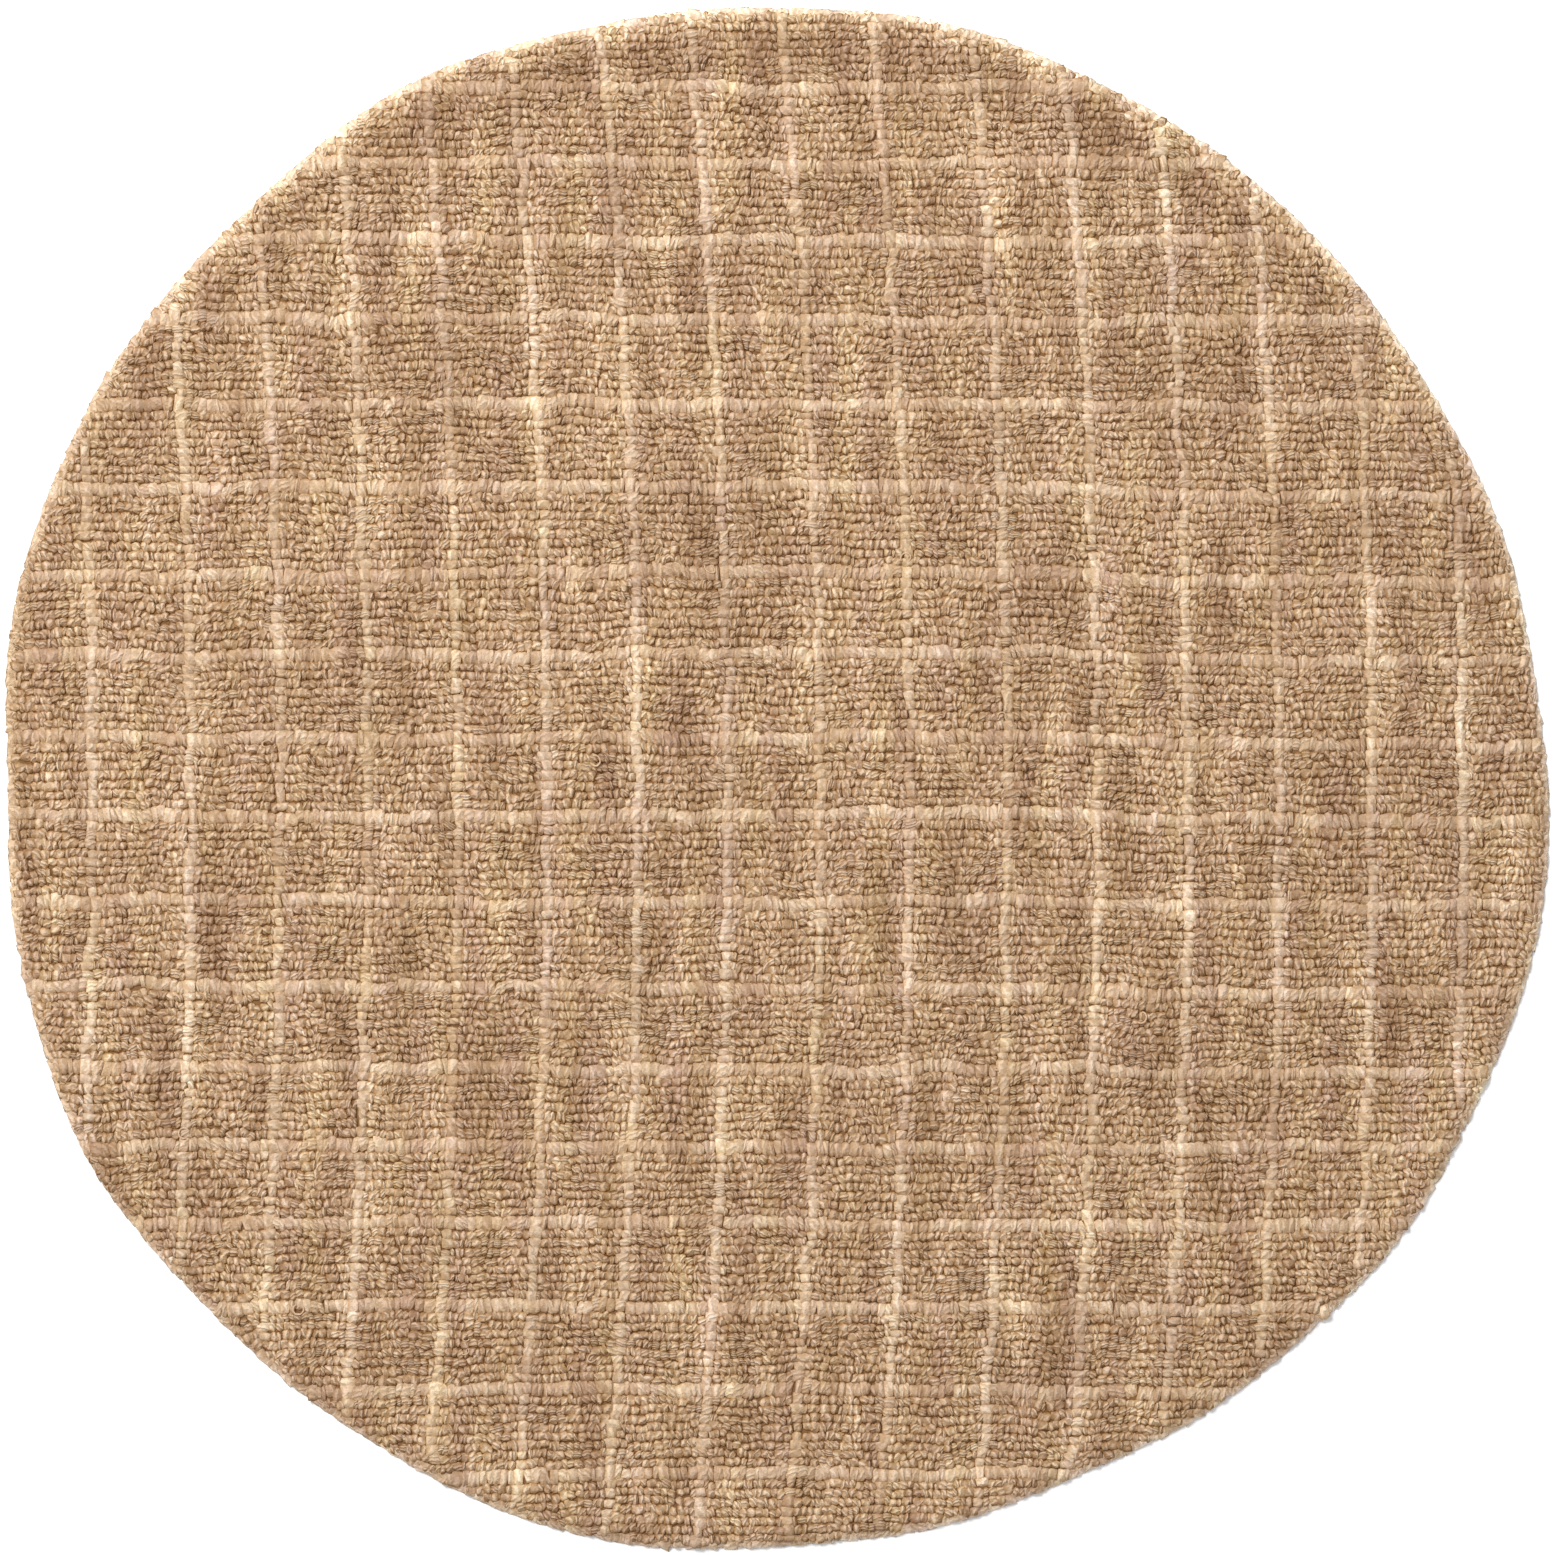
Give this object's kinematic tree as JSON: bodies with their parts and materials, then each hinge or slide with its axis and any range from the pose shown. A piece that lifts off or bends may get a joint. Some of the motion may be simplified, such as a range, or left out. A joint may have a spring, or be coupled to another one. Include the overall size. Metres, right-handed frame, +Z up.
{
  "type": "round wool rug",
  "caption": "Round looped-pile wool rug lying flat: rows of yarn loops in heathered tan with a paler windowpane grid, a gently uneven outline and a soft rounded rim.",
  "frame": {"origin": "centre of the bounding box at floor level, on the flat underside", "axes": "+Z up through the pile, +X along the rows of loops, +Y across them, away from the viewer's side of the rug"},
  "size_m": [1.8298, 1.8278, 0.012],
  "materials": {
    "wool_pile": "matt wool, heathered tan with paler grid rows"
  },
  "bodies": {
    "root": {"rug": "wool_pile"}
  },
  "joints": []
}
